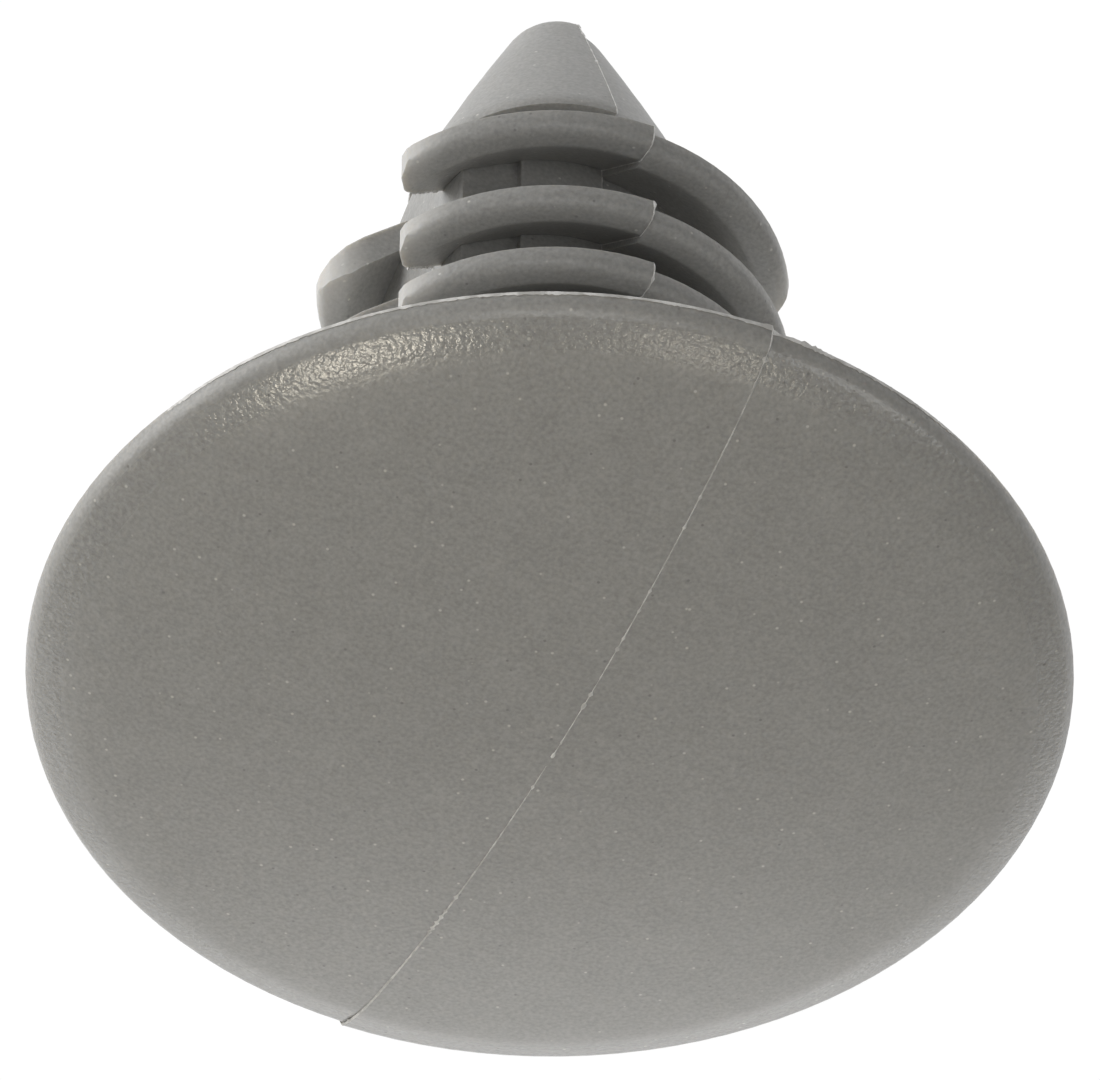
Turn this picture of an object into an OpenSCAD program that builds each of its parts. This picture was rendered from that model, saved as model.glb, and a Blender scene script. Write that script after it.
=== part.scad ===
// Trim panel retainer: a push-in fir-tree fastener, moulded in one piece.
// The origin is the centre of the head's flat back, and the shank points along +Z.
// The mould parts on the plane x = 0, and the fins stand in two banks, towards -Y and +Y.

/* [Head] */
// Radius of the round head
head_r = 12.7; // [9:0.1:16]
// Height of the head, from its flat back to the crown
head_h = 2.75; // [2.1:0.05:3.6]
// Height of the upright land round the back edge
edge_land = 0.12; // [0.05:0.01:0.4]
// Radius of the round on the head's edge
edge_round = 0.55; // [0.2:0.05:1.2]
// Radius of the shoulder between the edge and the crown
shoulder_round = 8; // [4:0.5:12]
// Slope of the shoulder where it leaves the edge, in degrees
shoulder_slope = 30; // [24:1:40]

/* [Core] */
// Width of the core across the open sides, along X
core_w = 7.4; // [5.5:0.1:8.4]
// Depth of the core between the fin banks, along Y
core_d = 5.2; // [3.6:0.1:6.4]
// Width of the raised rib down the middle of each finned face
rib_w = 4.4; // [2:0.1:5.4]
// Height of that rib above the finned face
rib_h = 0.25; // [0.1:0.05:0.6]
// Radius that the core's corners are rounded to, inside the panel hole
core_r = 4.5; // [4.1:0.05:5]
// Length of the taper that narrows the core's corners under the nose
core_taper = 1.6; // [0.8:0.1:2.4]

/* [Fins] */
// Number of fins in each bank
fin_count = 5; // [2:1:5]
// Distance from the first fin to the second, counted from the nose
first_gap = 2.78; // [2.4:0.02:3]
// Distance from one fin to the next, below the second
fin_pitch = 2.26; // [2.1:0.02:2.5]
// Radius of the fins' rims
fin_r = 6; // [5.2:0.05:6.6]
// Height of the first fin's lip above the seat
first_lip_z = 13.43; // [12.6:0.01:14.2]
// Height of a fin's rim face, from its lip to its upper edge
rim_h = 0.55; // [0.4:0.01:0.8]
// Chamfer on the rim's upper edge
rim_chamfer = 0.14; // [0.05:0.01:0.2]
// Radius of the round on both sides of the lip
lip_round = 0.3; // [0.15:0.01:0.36]
// Width of the lip, from the rim to where the underside starts
lip_w = 0.65; // [0.4:0.01:0.9]
// Slope of the lip's lower face, in degrees
lip_tilt = 8; // [4:1:20]
// Slope of a fin's underside, in degrees
under_slope = 41; // [34:1:46]
// Slope of a fin's upper side, in degrees
upper_slope = 38; // [32:1:44]
// Half of the angle that a fin of the -Y bank takes up round the axis
front_half = 70; // [60:1:78]
// Half of the angle that a fin of the +Y bank takes up round the axis
back_half = 77; // [60:1:78]
// Radius that rounds a fin's corners, seen along the axis
end_round = 1; // [0.4:0.1:1.6]

/* [Nose] */
// Height of the nose's base above the seat
nose_z = 16.8; // [16:0.05:18]
// Length of the nose, from its base to its tip
nose_l = 6.65; // [5.6:0.05:8.4]
// Radius of the nose at its base
nose_r = 3.75; // [3.3:0.05:4.3]
// Radius of the rounded tip
tip_round = 1.55; // [0.8:0.05:2]
// Radius of the slight bulge along the nose's side
nose_bulge = 90; // [12:1:120]
// Height of the upright land round the nose's base
nose_land = 0.2; // [0.1:0.05:0.5]

/* [Mould] */
// Sideways step between the two mould halves at the head
head_step = 0.12; // [0.05:0.01:0.3]
// Sideways step between the two mould halves along the shank
shank_step = 0.26; // [0.05:0.01:0.4]

/* [Hidden] */
$fn = 96;
plastic = "#7f7e7a";
// Points along a fin's lip, a short round and a long arc
lip_steps = 3;
round_steps = 4;
arc_steps = 8;
// Radius inside the core where a fin's section starts, and half the width of the strip it starts from
fin_root_r = core_d / 2 - 0.6;
root_strip = 0.25;
// How far a bank's outline runs out past the rim where its corner starts
corner_past = 0.06;

// Point on a circle about c, with the angle counted from the radial direction
function on_arc(c, r, a) = c + r * [cos(a), sin(a)];

// Points from angle a to angle b on a circle about c
function arc(c, r, a, b, steps) =
    [for (i = [0 : steps]) on_arc(c, r, a + (b - a) * i / steps)];

// A list of points without its first one, to join two arcs at their shared point
function rest(points) = [for (i = [1 : len(points) - 1]) points[i]];

// Head's section: centres and angles of three arcs that meet smoothly, with depth counted from the back
edge_c = [head_r - edge_round, edge_land];
shoulder_c = edge_c
    + (edge_round - shoulder_round) * [sin(shoulder_slope), cos(shoulder_slope)];
crown_slope = 2 * atan((head_h - shoulder_c.y - shoulder_round) / shoulder_c.x);
crown_r = (shoulder_c.x + shoulder_round * sin(crown_slope)) / sin(crown_slope);
crown_c = [0, head_h - crown_r];

// Nose's section: a bulging side from the base that runs smoothly into the round tip
base_p = [nose_r, nose_land];
tip_c = [0, nose_l - tip_round];
tip_d = norm(tip_c - base_p);
along = (tip_c - base_p) / tip_d;
outward = [along.y, -along.x];
side_along = (nose_bulge ^ 2 - (nose_bulge - tip_round) ^ 2 + tip_d ^ 2) / (2 * tip_d);
side_c = base_p + side_along * along - sqrt(nose_bulge ^ 2 - side_along ^ 2) * outward;
base_angle = atan2(base_p.y - side_c.y, base_p.x - side_c.x);
tip_angle = atan2(tip_c.y - side_c.y, tip_c.x - side_c.x);

// Half of a revolved section, on the +X side of the parting plane
module half_turn() {
    rotate([0, 0, -90])
        rotate_extrude(angle = 180)
            children();
}

// Half of the domed head, with its back on the plane z = 0
module head() {
    section = concat(
        [[0, 0], [head_r, 0]],
        arc(edge_c, edge_round, 0, 90 - shoulder_slope, round_steps),
        rest(arc(shoulder_c, shoulder_round, 90 - shoulder_slope, 90 - crown_slope, round_steps)),
        rest(arc(crown_c, crown_r, 90 - crown_slope, 90, arc_steps))
    );
    half_turn()
        mirror([0, 1])
            polygon(section);
}

// Half of the straight core that joins the head to the nose, with a rib on each finned face
module core() {
    intersection() {
        translate([0, 0, -head_h / 2])
            linear_extrude(head_h / 2 + nose_z + nose_land) {
                translate([0, -core_d / 2])
                    square([core_w / 2, core_d]);
                translate([0, -core_d / 2 - rib_h])
                    square([rib_w / 2, core_d + 2 * rib_h]);
            }
        half_turn()
            polygon([
                [0, -head_h],
                [core_r, -head_h],
                [core_r, nose_z - core_taper],
                [nose_r - nose_land, nose_z],
                [nose_r - nose_land, nose_z + nose_l / 2],
                [0, nose_z + nose_l / 2]
            ]);
    }
}

// Height of a fin's lip, with the fins counted from the nose
function fin_z(i) = first_lip_z - (i > 0 ? first_gap + (i - 1) * fin_pitch : 0);

// Section of one drooping fin, with its lip on the line y = 0
function fin_section() =
    let (
        outer_c = [fin_r - lip_round, lip_round],
        inner_c = outer_c + (lip_w - lip_round) * [-cos(lip_tilt), sin(lip_tilt)],
        under = on_arc(inner_c, lip_round, -90 - under_slope),
        edge = [fin_r - rim_chamfer, rim_h + rim_chamfer]
    )
    concat(
        [[fin_root_r, edge.y + (edge.x - fin_root_r) * tan(upper_slope)], edge, [fin_r, rim_h]],
        arc(outer_c, lip_round, 0, -90 - lip_tilt, lip_steps),
        arc(inner_c, lip_round, -90 - lip_tilt, -90 - under_slope, lip_steps),
        [[fin_root_r, under.y + (under.x - fin_root_r) * tan(under_slope)]]
    );

// Outline of half a bank of the given angle, seen along the axis: it starts along the bank's end
// and has a rounded corner
function bank_outline(reach) =
    let (
        corner_u = sqrt((fin_r - end_round) ^ 2 - end_round ^ 2),
        corner = arc([corner_u, end_round], end_round, -90, atan2(end_round, corner_u), round_steps),
        beyond = reach + 20
    )
    concat(
        [[0, 0]],
        [for (i = [0 : round_steps]) i < round_steps ? corner[i] : corner[i] * (1 + corner_past / fin_r)],
        [for (a = [beyond / 2, beyond]) 2 * fin_r * [cos(a), sin(a)]]
    );

// Half of the bank of fins on the -Y side, with its end at the given angle from the parting plane,
// on a strip that lies inside the core
module fin_bank(reach) {
    intersection() {
        rotate([0, 0, -90])
            rotate_extrude(angle = reach + 6) {
                translate([fin_root_r - root_strip, -head_h / 2])
                    square([2 * root_strip, head_h / 2 + nose_z + nose_l / 4]);
                for (i = [0 : fin_count - 1])
                    translate([0, fin_z(i)])
                        polygon(fin_section());
            }
        translate([0, 0, -head_h])
            rotate([0, 0, reach - 90])
                mirror([0, 1, 0])
                    linear_extrude(head_h + nose_z + nose_l / 2)
                        polygon(bank_outline(reach));
    }
}

// Half of the bullet nose that leads the shank into the hole
module nose() {
    section = concat(
        [[0, 0], [nose_r, 0]],
        arc(side_c, nose_bulge, base_angle, tip_angle, round_steps),
        rest(arc(tip_c, tip_round, tip_angle, 90, arc_steps))
    );
    translate([0, 0, nose_z])
        half_turn()
            polygon(section);
}

// What one mould half makes, on the +X side of the parting plane, moved along Y by its share of the steps
module mould_half(share) {
    translate([0, share * head_step, 0])
        head();
    translate([0, share * shank_step, 0]) {
        core();
        fin_bank(front_half);
        mirror([0, 1, 0])
            fin_bank(back_half);
        nose();
    }
}

// The moulded retainer, with its two halves out of line by the mould's steps
module retainer() {
    color(plastic)
        union() {
            mould_half(0.5);
            mirror([1, 0, 0])
                mould_half(-0.5);
        }
}

retainer();
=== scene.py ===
"""Looks for the trim panel retainer: grey moulded plastic, its mould flash, a pale floor and soft light."""

import math
import random

import bmesh
import bpy
from mathutils import Matrix, Vector, noise
from mathutils.bvhtree import BVHTree


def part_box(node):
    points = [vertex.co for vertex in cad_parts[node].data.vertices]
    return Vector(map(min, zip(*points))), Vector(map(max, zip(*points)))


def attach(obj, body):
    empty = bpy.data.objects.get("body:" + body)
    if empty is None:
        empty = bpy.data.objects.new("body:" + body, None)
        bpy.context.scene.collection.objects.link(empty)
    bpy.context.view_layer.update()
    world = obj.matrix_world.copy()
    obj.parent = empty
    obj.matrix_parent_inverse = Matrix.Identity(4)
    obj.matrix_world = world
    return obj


MM = 0.001
PHOTO = (1100, 1080)

# Sizes repeated from the part's source, in metres and radians
HEAD_R = 12.7 * MM
HEAD_STEP = 0.12 * MM
SHANK_STEP = 0.26 * MM
FIN_LIPS = [13.43 * MM, 10.65 * MM, 8.39 * MM]
FRONT_HALF = math.radians(70)

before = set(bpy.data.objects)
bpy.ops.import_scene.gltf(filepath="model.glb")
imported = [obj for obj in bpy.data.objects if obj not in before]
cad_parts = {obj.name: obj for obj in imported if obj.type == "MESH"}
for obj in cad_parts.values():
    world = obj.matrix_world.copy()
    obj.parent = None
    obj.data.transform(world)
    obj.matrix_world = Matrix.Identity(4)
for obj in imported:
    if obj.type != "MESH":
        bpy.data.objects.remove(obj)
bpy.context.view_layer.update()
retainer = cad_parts["retainer"]
scene = bpy.context.scene
scene.view_settings.view_transform = "Standard"


def new_material(name):
    """A material with its node tree emptied, and that tree's nodes and links."""
    material = bpy.data.materials.new(name)
    material.use_nodes = True
    material.node_tree.nodes.clear()
    return material, material.node_tree.nodes, material.node_tree.links


def math_node(nodes, links, operation, *values):
    """A maths node's output; each value is a socket or a plain number."""
    node = nodes.new("ShaderNodeMath")
    node.operation = operation
    for value, socket in zip(values, node.inputs):
        if isinstance(value, (int, float)):
            socket.default_value = value
        else:
            links.new(value, socket)
    return node.outputs["Value"]


def noise_node(nodes, links, place, scale, detail):
    """A noise texture's output."""
    node = nodes.new("ShaderNodeTexNoise")
    node.inputs["Scale"].default_value = scale
    node.inputs["Detail"].default_value = detail
    links.new(place, node.inputs["Vector"])
    return node.outputs["Fac"]


def ramp(nodes, links, factor, stops):
    """A colour ramp's output; stops are pairs of a position and a colour."""
    node = nodes.new("ShaderNodeValToRGB")
    for element, (position, colour) in zip(node.color_ramp.elements, stops):
        element.position = position
        element.color = (*colour, 1.0)
    links.new(factor, node.inputs["Fac"])
    return node.outputs["Color"]


def remap(nodes, links, value, start, stop, low_value, high_value):
    """A value brought from one range into another, and held inside it."""
    node = nodes.new("ShaderNodeMapRange")
    node.inputs["From Min"].default_value = start
    node.inputs["From Max"].default_value = stop
    node.inputs["To Min"].default_value = low_value
    node.inputs["To Max"].default_value = high_value
    links.new(value, node.inputs["Value"])
    return node.outputs["Result"]


def spots(nodes, links, place, scale, radius):
    """Mask of sparse round spots, of a radius in metres, about points spread at a scale."""
    cells = nodes.new("ShaderNodeTexVoronoi")
    cells.inputs["Scale"].default_value = scale
    links.new(place, cells.inputs["Vector"])
    return remap(nodes, links, cells.outputs["Distance"], 0.5 * radius * scale, radius * scale, 1.0, 0.0)


def tint(nodes, links, factor, below, above):
    """A colour mix from the socket below to the plain colour above."""
    node = nodes.new("ShaderNodeMix")
    node.data_type = "RGBA"
    links.new(factor, node.inputs["Factor"])
    links.new(below, node.inputs[6])
    node.inputs[7].default_value = (*above, 1.0)
    return node.outputs[2]


def plastic_material():
    """Mid-grey plastic: fine moulded grain, tiny specks and pits, paler fin ends that are painted glow, and a
    coarser sparkle on the shoulder.
    """
    material, nodes, links = new_material("plastic")
    out = nodes.new("ShaderNodeOutputMaterial")
    shader = nodes.new("ShaderNodeBsdfPrincipled")
    shader.inputs["Subsurface Weight"].default_value = 0.35
    shader.inputs["Subsurface Radius"].default_value = (1.0, 0.85, 0.65)
    shader.inputs["Subsurface Scale"].default_value = 0.5 * MM
    place = nodes.new("ShaderNodeTexCoord").outputs["Object"]

    grain = noise_node(nodes, links, place, 9000.0, 2.0)
    mottle = noise_node(nodes, links, place, 900.0, 4.0)
    cloud = math_node(nodes, links, "MULTIPLY", mottle, 0.2)
    blend = math_node(nodes, links, "MULTIPLY_ADD", grain, 0.8, cloud)
    colour = ramp(nodes, links, blend, [(0.3, (0.325, 0.320, 0.306)), (0.7, (0.445, 0.439, 0.419))])
    specks = spots(nodes, links, place, 1900.0, 0.05 * MM)
    pits = spots(nodes, links, place, 1650.0, 0.05 * MM)
    colour = tint(nodes, links, specks, colour, (0.62, 0.61, 0.57))
    colour = tint(nodes, links, pits, colour, (0.27, 0.265, 0.255))
    axes = nodes.new("ShaderNodeSeparateXYZ")
    links.new(place, axes.inputs["Vector"])
    # Fin ends out at the sides and above the head, tinted paler: painted glow of light shining through and around
    # the thin ends
    outward = math_node(nodes, links, "ABSOLUTE", axes.outputs["X"])
    painted_glow_ends = remap(nodes, links, outward, 4.5 * MM, 5.6 * MM, 0.0, 0.8)
    above = remap(nodes, links, axes.outputs["Z"], 0.5 * MM, 1.5 * MM, 0.0, 1.0)
    colour = tint(nodes, links, math_node(nodes, links, "MULTIPLY", painted_glow_ends, above), colour, (0.78, 0.76, 0.72))
    links.new(colour, shader.inputs["Base Color"])

    across = math_node(nodes, links, "POWER", axes.outputs["X"], 2.0)
    along = math_node(nodes, links, "POWER", axes.outputs["Y"], 2.0)
    radius = math_node(nodes, links, "SQRT", math_node(nodes, links, "ADD", across, along))
    rising = remap(nodes, links, radius, HEAD_R - 1.5 * MM, HEAD_R - 0.6 * MM, 0.0, 1.0)
    falling = remap(nodes, links, radius, HEAD_R - 0.3 * MM, HEAD_R, 1.0, 0.0)
    rising.node.interpolation_type = falling.node.interpolation_type = "SMOOTHSTEP"
    band = math_node(nodes, links, "MULTIPLY", rising, falling)

    coarse = math_node(nodes, links, "SUBTRACT", noise_node(nodes, links, place, 6500.0, 2.0), 0.5)
    extra = math_node(nodes, links, "MULTIPLY", coarse, band)
    height = math_node(nodes, links, "MULTIPLY_ADD", extra, 2.0, grain)
    bump = nodes.new("ShaderNodeBump")
    bump.inputs["Strength"].default_value = 0.35
    bump.inputs["Distance"].default_value = 0.03 * MM
    links.new(height, bump.inputs["Height"])
    links.new(bump.outputs["Normal"], shader.inputs["Normal"])
    links.new(remap(nodes, links, band, 0.0, 1.0, 0.42, 0.22), shader.inputs["Roughness"])
    links.new(remap(nodes, links, band, 0.0, 1.0, 0.5, 1.0), shader.inputs["Specular IOR Level"])
    links.new(shader.outputs["BSDF"], out.inputs["Surface"])
    return material


def flash_material(name, dark, pale):
    """The paler, uneven plastic of the thin flash that squeezed out at the mould's edges."""
    material, nodes, links = new_material(name)
    out = nodes.new("ShaderNodeOutputMaterial")
    shader = nodes.new("ShaderNodeBsdfPrincipled")
    shader.inputs["Roughness"].default_value = 0.55
    place = nodes.new("ShaderNodeTexCoord").outputs["Object"]
    patches = noise_node(nodes, links, place, 2600.0, 2.0)
    colour = ramp(nodes, links, patches, [(0.40, dark), (0.62, pale)])
    links.new(colour, shader.inputs["Base Color"])
    links.new(shader.outputs["BSDF"], out.inputs["Surface"])
    return material


def floor_material():
    """Pale floor that shows only its upper side, so that the show face can be seen from below."""
    material, nodes, links = new_material("floor")
    out = nodes.new("ShaderNodeOutputMaterial")
    pale = nodes.new("ShaderNodeBsdfDiffuse")
    pale.inputs["Color"].default_value = (0.86, 0.86, 0.86, 1.0)
    clear = nodes.new("ShaderNodeBsdfTransparent")
    side = nodes.new("ShaderNodeNewGeometry")
    mix = nodes.new("ShaderNodeMixShader")
    links.new(side.outputs["Backfacing"], mix.inputs["Fac"])
    links.new(pale.outputs["BSDF"], mix.inputs[1])
    links.new(clear.outputs["BSDF"], mix.inputs[2])
    links.new(mix.outputs["Shader"], out.inputs["Surface"])
    return material


def add_mesh(name, vertices, faces, material):
    """A mesh object in the scene, with one material."""
    mesh = bpy.data.meshes.new(name)
    mesh.from_pydata(vertices, [], faces)
    mesh.materials.append(material)
    thing = bpy.data.objects.new(name, mesh)
    scene.collection.objects.link(thing)
    return thing


def ribbon(name, sections, material, closed=False):
    """A strip of flash of triangular section: each entry of sections holds that section's three points."""
    vertices = [tuple(p) for section in sections for p in section]
    count = len(sections)
    faces = []
    for i in range(count if closed else count - 1):
        a, b = 3 * i, 3 * ((i + 1) % count)
        for k in range(3):
            j = (k + 1) % 3
            faces.append((a + k, a + j, b + j, b + k))
    if not closed:
        faces.append((2, 1, 0))
        last = 3 * (count - 1)
        faces.append((last, last + 1, last + 2))
    strip = add_mesh(name, vertices, faces, material)
    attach(strip, "root")
    return strip


def merge_group():
    """Geometry nodes that join the imported mesh's repeated points and drop its empty faces and own normals."""
    group = bpy.data.node_groups.new("merge_points", "GeometryNodeTree")
    for way in ("INPUT", "OUTPUT"):
        group.interface.new_socket("Geometry", in_out=way, socket_type="NodeSocketGeometry")
    start = group.nodes.new("NodeGroupInput")
    joined = group.nodes.new("GeometryNodeMergeByDistance")
    joined.inputs["Distance"].default_value = 1e-9
    empty = group.nodes.new("FunctionNodeCompare")
    empty.operation = "LESS_THAN"
    empty.inputs["B"].default_value = 1e-12
    dropped = group.nodes.new("GeometryNodeDeleteGeometry")
    dropped.domain = "FACE"
    dropped.mode = "ONLY_FACE"
    plain = group.nodes.new("GeometryNodeRemoveAttribute")
    plain.inputs["Name"].default_value = "custom_normal"
    stop = group.nodes.new("NodeGroupOutput")
    group.links.new(start.outputs["Geometry"], joined.inputs["Geometry"])
    group.links.new(group.nodes.new("GeometryNodeInputMeshFaceArea").outputs["Area"], empty.inputs["A"])
    group.links.new(joined.outputs["Geometry"], dropped.inputs["Geometry"])
    group.links.new(empty.outputs["Result"], dropped.inputs["Selection"])
    group.links.new(dropped.outputs["Geometry"], plain.inputs["Geometry"])
    group.links.new(plain.outputs["Geometry"], stop.inputs["Geometry"])
    return group


# Plastic on the solid itself, shaded smooth across its shallow facets and sharp at its edges
retainer.data.materials.clear()
retainer.data.materials.append(plastic_material())
merge = retainer.modifiers.new("merge", "NODES")
merge.node_group = merge_group()
split = retainer.modifiers.new("split", "EDGE_SPLIT")
split.split_angle = math.radians(38)
split.use_edge_sharp = False
shade = retainer.modifiers.new("shade", "WEIGHTED_NORMAL")
shade.weight = 90
shade.keep_sharp = False

low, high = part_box("retainer")
tree = BVHTree.FromObject(retainer, bpy.context.evaluated_depsgraph_get())
chance = random.Random(7)
flash = flash_material("flash", (0.60, 0.59, 0.56), (0.90, 0.89, 0.86))
parting = flash_material("parting", (0.60, 0.59, 0.565), (0.88, 0.87, 0.84))


def section_loop(x):
    """The solid's outline on a plane across X, as a closed loop of (y, z) points that runs anticlockwise."""
    work = bmesh.new()
    work.from_mesh(retainer.data)
    bmesh.ops.remove_doubles(work, verts=work.verts, dist=0.0002 * MM)
    everything = work.verts[:] + work.edges[:] + work.faces[:]
    cut = bmesh.ops.bisect_plane(
        work, geom=everything, dist=1e-9, plane_co=(x, 0.0, 0.0), plane_no=(1.0, 0.0, 0.0)
    )["geom_cut"]
    near = {}
    for edge in cut:
        if isinstance(edge, bmesh.types.BMEdge):
            a, b = edge.verts
            near.setdefault(a, []).append(b)
            near.setdefault(b, []).append(a)
    loops = []
    left = dict.fromkeys(near)
    while left:
        start = next(iter(left))
        chain = []
        step = start
        while step is not None:
            del left[step]
            chain.append(step)
            step = next((v for v in near[step] if v in left), None)
        loops.append([Vector((v.co.y, v.co.z)) for v in chain])
    work.free()
    loop = max(loops, key=len)
    area = sum(p.x * q.y - q.x * p.y for p, q in zip(loop, loop[1:] + loop[:1]))
    return loop if area > 0 else loop[::-1]


def half_loop(loop, side):
    """The part of a loop on one side of y = 0, as one open line."""
    first = next(i for i in range(len(loop)) if loop[i].x * side > 0 and loop[i - 1].x * side <= 0)
    turned = loop[first:] + loop[:first]
    return [p for p in turned if p.x * side > 0]


def even_points(points, gap):
    """Points at an even gap along a line of points."""
    made = [points[0]]
    carried = 0.0
    for p, q in zip(points, points[1:]):
        length = (q - p).length
        at = gap - carried
        while at <= length:
            made.append(p.lerp(q, at / length))
            at += gap
        carried = length - (at - gap)
    return made


# Flash where the two mould halves met, on the half that stands proud on each side
for name, side in (("parting_flash_front", -1), ("parting_flash_back", 1)):
    path = even_points(half_loop(section_loop(0.01 * MM * side), side), 0.09 * MM)
    strips = []
    for i in range(1, len(path) - 1):
        along = (path[i + 1] - path[i - 1]).normalized()
        outward = Vector((along.y, -along.x))
        scale = chance.uniform(1.7, 3.0) if chance.random() < 0.08 else 1.0
        half = chance.uniform(0.028, 0.045) * MM * scale
        ridge = chance.uniform(0.010, 0.020) * MM * scale
        foot = path[i] - outward * 0.03 * MM
        top = path[i] + outward * ridge
        strips.append([
            Vector((-half, foot.x, foot.y)),
            Vector((half, foot.x, foot.y)),
            Vector((0.0, top.x, top.y)),
        ])
    ribbon(name, strips, parting)

# Ragged flash round the head's back edge
ring = []
turns = 1080
for i in range(turns):
    a = 2 * math.pi * i / turns
    direction = Vector((math.cos(a), math.sin(a), 0.0))
    shift = Vector((0.0, math.copysign(HEAD_STEP / 2, math.cos(a)), 0.0))
    patch = 0.5 + 0.5 * noise.noise(direction * 14.0)
    ragged = chance.uniform(0.2, 1.0) * patch
    at_seam = max(0.0, 1.0 - abs(math.degrees(a) - 272.0) / 5.0)
    amount = min(1.0, max(0.0, (math.cos(a - math.radians(250)) - 0.53) / 0.24))
    sunk = 0.02 * (1.0 - amount)
    inner = direction * (HEAD_R - 0.1 * MM) + shift
    lower = direction * (HEAD_R + ((0.010 + 0.012 * ragged) * amount - sunk) * MM) + shift
    upper = direction * (HEAD_R + ((0.008 + 0.02 * ragged + 0.09 * at_seam * ragged) * amount - sunk) * MM) + shift
    ring.append([
        lower + Vector((0.0, 0.0, -(0.05 + 0.12 * ragged) * MM)),
        inner + Vector((0.0, 0.0, -sunk * MM)),
        upper + Vector((0.0, 0.0, (0.01 + 0.2 * at_seam * ragged) * amount * MM - sunk * MM)),
    ])
ribbon("edge_flash", ring, flash, closed=True)

# Crumbs of flash under the left ends of the front fins, along the edge from the core to the lip
end = Vector((-math.sin(FRONT_HALF), -math.cos(FRONT_HALF), 0.0))
inward = Vector((-end.y, end.x, 0.0))
for number, lip in enumerate(FIN_LIPS, start=1):
    strips = []
    for i in range(40):
        spot = end * (4.1 + 1.15 * i / 39) * MM + inward * 0.04 * MM
        spot.y -= SHANK_STEP / 2
        spot.z = lip - 0.3 * MM
        hit = tree.ray_cast(spot, Vector((0.0, 0.0, 1.0)), 3 * MM)[0]
        if hit is None:
            continue
        hang = chance.uniform(0.05, 0.2) * (0.5 + 0.5 * noise.noise(hit * 2200.0)) * MM
        wide = chance.uniform(0.03, 0.07) * MM
        strips.append([
            hit + inward * wide + Vector((0.0, 0.0, 0.05 * MM)),
            hit - inward * wide + Vector((0.0, 0.0, 0.05 * MM)),
            hit - inward * 0.5 * wide + Vector((0.0, 0.0, -hang)),
        ])
    ribbon("end_flash_%d" % number, strips, flash)

# Floor under the head
span = 1.5
floor = add_mesh(
    "floor",
    [(-span, -span, low.z), (span, -span, low.z), (span, span, low.z), (-span, span, low.z)],
    [(0, 1, 2, 3)],
    floor_material(),
)
floor.visible_shadow = False
floor.visible_diffuse = False
floor.visible_glossy = False

# Surround: white behind the part as the camera sees it, and dimmer below and in front of it
SURROUND_AXIS = (0.143, 0.693, 0.707)
DIM, BRIGHT = 0.11, 1.02
world = bpy.data.worlds.new("surround")
scene.world = world
world.use_nodes = True
nodes, links = world.node_tree.nodes, world.node_tree.links
facing = nodes.new("ShaderNodeVectorMath")
facing.operation = "DOT_PRODUCT"
facing.inputs[1].default_value = SURROUND_AXIS
links.new(nodes.new("ShaderNodeTexCoord").outputs["Generated"], facing.inputs[0])
glow = remap(nodes, links, facing.outputs["Value"], -0.15, 0.55, DIM, BRIGHT)
glow.node.interpolation_type = "SMOOTHSTEP"
links.new(glow, nodes["Background"].inputs["Strength"])
nodes["Background"].inputs["Color"].default_value = (1.0, 1.0, 1.0, 1.0)


def area_light(name, position, size, power, colour=(1.0, 1.0, 1.0)):
    """A soft square light at a position in metres, aimed at the middle of the part."""
    data = bpy.data.lights.new(name, "AREA")
    data.size = size
    data.energy = power
    data.color = colour
    lamp = bpy.data.objects.new(name, data)
    scene.collection.objects.link(lamp)
    lamp.location = position
    aim = Vector((0.0, 0.0, 0.008)) - lamp.location
    lamp.rotation_euler = aim.to_track_quat("-Z", "Y").to_euler()
    lamp.visible_camera = False
    return lamp


area_light("light_back", (0.17, 0.385, -0.12), 0.25, 0.25)
area_light("light_left", (-0.40, 0.02, 0.10), 0.30, 0.98)
area_light("light_front", (-0.13, -0.29, -0.25), 0.20, 0.31)
area_light("light_right", (0.22, -0.26, -0.22), 0.20, 0.15)
area_light("light_low_left", (-0.155, -0.007, -0.335), 0.06, 0.18, (1.0, 0.92, 0.76))
area_light("light_low_right", (0.063, -0.105, -0.349), 0.06, 0.06, (1.0, 0.92, 0.76))

# Camera: below the head, turned to the -X and -Y side, with a long lens
AZIMUTH, ELEVATION, ROLL = math.radians(-23.8), math.radians(-45.6), math.radians(0.5)
DISTANCE, FOCAL_PX = 0.26, 10744.5
ORIGIN_PX = (549.6, 682.0)
away = Vector((
    math.sin(AZIMUTH) * math.cos(ELEVATION),
    -math.cos(AZIMUTH) * math.cos(ELEVATION),
    math.sin(ELEVATION),
))
forward = -away
right = forward.cross(Vector((0, 0, 1))).normalized()
up = right.cross(forward)
turned_right = right * math.cos(ROLL) + up * math.sin(ROLL)
turned_up = up * math.cos(ROLL) - right * math.sin(ROLL)
aim = (
    forward
    + turned_right * ((PHOTO[0] / 2 - ORIGIN_PX[0]) / FOCAL_PX)
    + turned_up * ((ORIGIN_PX[1] - PHOTO[1] / 2) / FOCAL_PX)
).normalized()
side = aim.cross(turned_up).normalized()
top = side.cross(aim)
data = bpy.data.cameras.new("camera")
data.sensor_width = 36.0
data.lens = 36.0 * FOCAL_PX / PHOTO[0]
data.clip_start = 0.01
data.clip_end = 20.0
camera = bpy.data.objects.new("camera", data)
scene.collection.objects.link(camera)
turn = Matrix((side, top, -aim)).transposed().to_4x4()
camera.matrix_world = Matrix.Translation(away * DISTANCE) @ turn
scene.camera = camera
